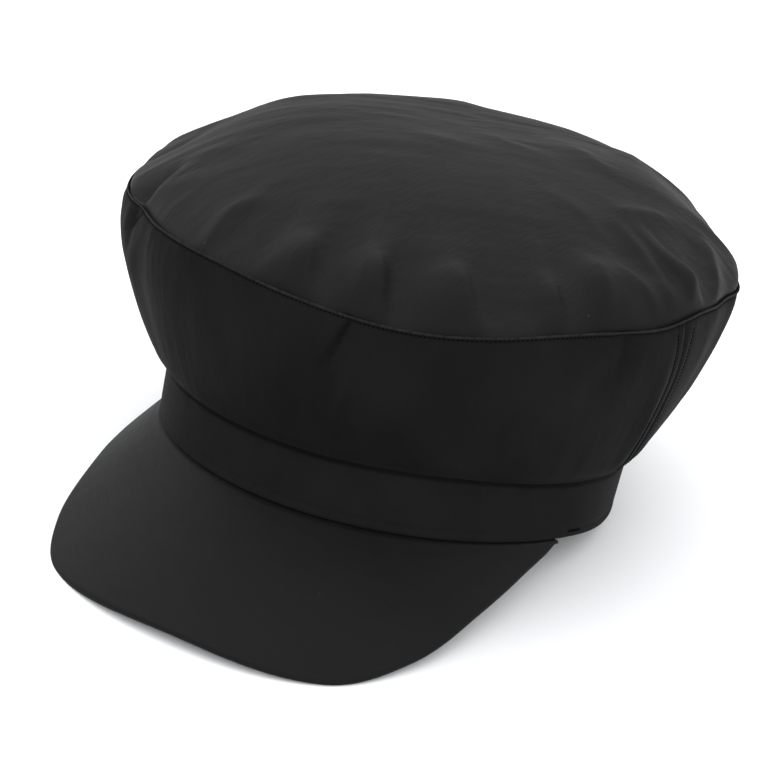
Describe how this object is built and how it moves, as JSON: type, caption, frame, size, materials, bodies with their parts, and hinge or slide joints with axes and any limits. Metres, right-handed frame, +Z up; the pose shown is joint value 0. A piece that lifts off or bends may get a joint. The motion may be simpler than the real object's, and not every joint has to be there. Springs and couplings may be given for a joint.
{
  "type": "breton fisherman cap",
  "caption": "Soft fisherman cap with a puffed, gathered crown, flared side panels, a plain head band and a short stiff peak, resting on its peak and the back of its rim.",
  "frame": {"origin": "on the surface that the cap rests on, under the middle of its bounding box", "axes": "+Z up, the peak towards -Y, the wearer's left towards +X"},
  "size_m": [0.234, 0.2826, 0.1493],
  "materials": {
    "crown_cloth": "black satin-faced cloth, lightly creased",
    "side_cloth": "black satin-faced cloth, lightly creased",
    "band_cloth": "black satin-faced cloth, folded double",
    "peak_cloth": "black satin-faced cloth stretched over a stiff board"
  },
  "bodies": {
    "root": {"crown_top": "crown_cloth", "side_front": "side_cloth", "side_back": "side_cloth", "band": "band_cloth", "peak": "peak_cloth"}
  },
  "joints": []
}
